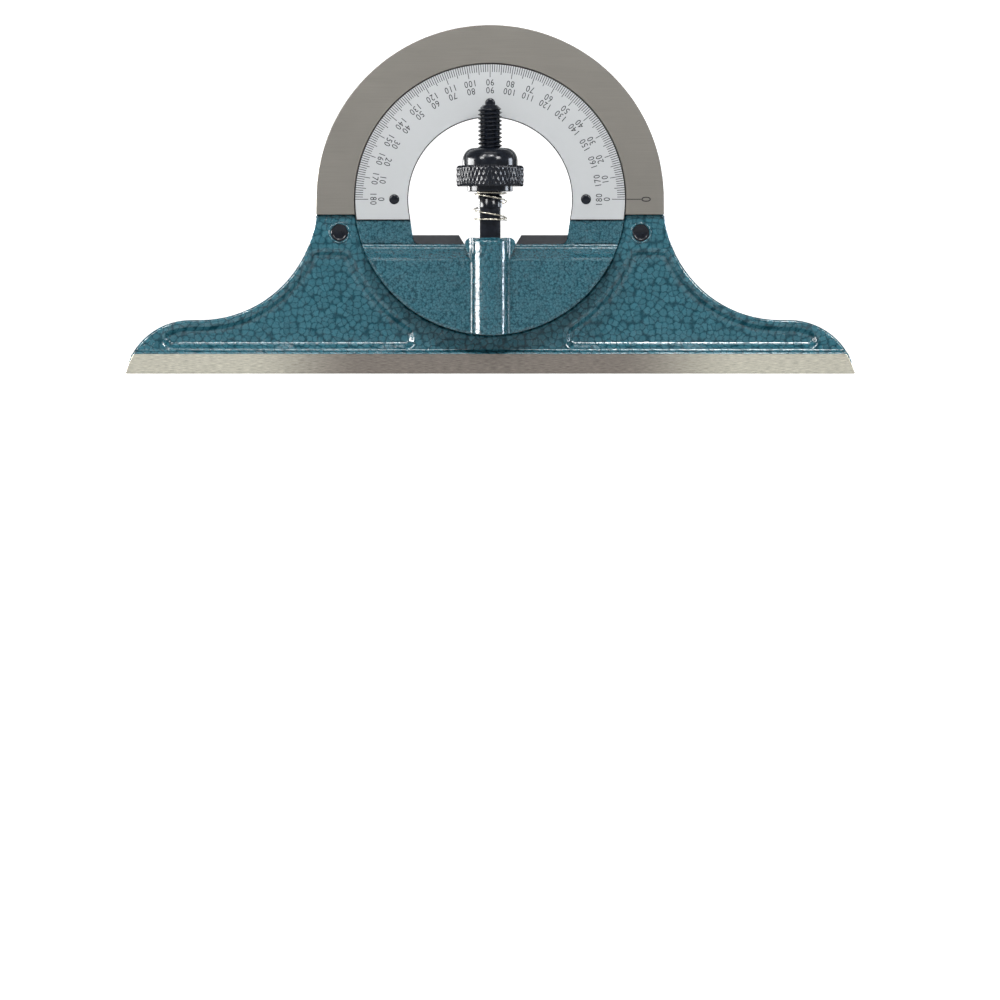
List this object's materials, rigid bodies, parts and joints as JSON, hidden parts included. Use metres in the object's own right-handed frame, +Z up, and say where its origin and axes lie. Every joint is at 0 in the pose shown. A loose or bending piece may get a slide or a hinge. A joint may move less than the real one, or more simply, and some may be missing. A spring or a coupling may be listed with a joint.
{
  "type": "bevel protractor",
  "caption": "Protractor head: a flat-based stock with a swivelling graduated turret that clamps a steel rule under a knurled nut and locks at any angle.",
  "frame": {"origin": "centre of the base's ground underside", "axes": "+X along the base to the right as seen from the dial side, -Y towards the viewer of the dial, +Z up through the turret"},
  "size_m": [0.178, 0.0335, 0.0847],
  "materials": {
    "hammertone_paint": "blue-green hammertone enamel on the castings, bare where they are ground",
    "ground_steel": "fine-ground steel",
    "satin_chrome": "light satin plating of the dial",
    "black_oxide": "black oxide with a little oil",
    "spring_wire": "drawn wire, pale yellow passivated"
  },
  "bodies": {
    "stock": {"stock_casting": "hammertone_paint", "arc_ring": "ground_steel", "arc_ring_screws": "black_oxide", "lock_stud_left": "black_oxide", "lock_stud_right": "black_oxide"},
    "turret": {"turret_casting": "hammertone_paint", "turret_back_plate": "black_oxide", "back_plate_screws": "black_oxide", "dial_plate": "satin_chrome", "dial_screw_left": "black_oxide", "dial_screw_top": "black_oxide", "dial_screw_right": "black_oxide"},
    "clamp_bolt": {"clamp_bolt": "black_oxide"},
    "clamp_spring": {"clamp_spring": "spring_wire"},
    "clamp_nut": {"clamp_nut": "black_oxide"},
    "lock_shoe_left": {"lock_shoe_left": "black_oxide", "lock_washer_left": "spring_wire"},
    "lock_nut_left": {"lock_nut_left": "black_oxide"},
    "lock_shoe_right": {"lock_shoe_right": "black_oxide", "lock_washer_right": "spring_wire"},
    "lock_nut_right": {"lock_nut_right": "black_oxide"}
  },
  "joints": [
    {"name": "turret_swivel", "type": "hinge", "parent": "stock", "child": "turret", "pos_m": [0, -0.008, 0.0424], "axis": [0, -1, 0], "continuous": true},
    {"name": "clamp_bolt_slide", "type": "slide", "parent": "turret", "child": "clamp_bolt", "axis": [0, 0, 1], "range_m": [-0.002, 0.004]},
    {"name": "clamp_spring_travel", "type": "slide", "parent": "clamp_bolt", "child": "clamp_spring", "axis": [0, 0, 1], "range_m": [-0.002, 0.003]},
    {"name": "clamp_nut_turn", "type": "hinge", "parent": "clamp_spring", "child": "clamp_nut", "pos_m": [0, -0.0153, 0.0424], "axis": [0, 0, 1], "range_deg": [-720, 1080]},
    {"name": "lock_shoe_left_slide", "type": "slide", "parent": "stock", "child": "lock_shoe_left", "axis": [0, 1, 0], "range_m": [0, 0.0014]},
    {"name": "lock_nut_left_turn", "type": "hinge", "parent": "lock_shoe_left", "child": "lock_nut_left", "pos_m": [-0.03666, 0, 0.03427], "axis": [0, 1, 0], "range_deg": [0, 720]},
    {"name": "lock_shoe_right_slide", "type": "slide", "parent": "stock", "child": "lock_shoe_right", "axis": [0, 1, 0], "range_m": [0, 0.0014]},
    {"name": "lock_nut_right_turn", "type": "hinge", "parent": "lock_shoe_right", "child": "lock_nut_right", "pos_m": [0.03666, 0, 0.03427], "axis": [0, 1, 0], "range_deg": [0, 720]}
  ],
  "couplings": [
    {"joint": "clamp_spring_travel", "follows": "clamp_nut_turn", "m_per_rad": 0.00015915},
    {"joint": "lock_shoe_left_slide", "follows": "lock_nut_left_turn", "m_per_rad": 0.00011141},
    {"joint": "lock_shoe_right_slide", "follows": "lock_nut_right_turn", "m_per_rad": 0.00011141}
  ]
}
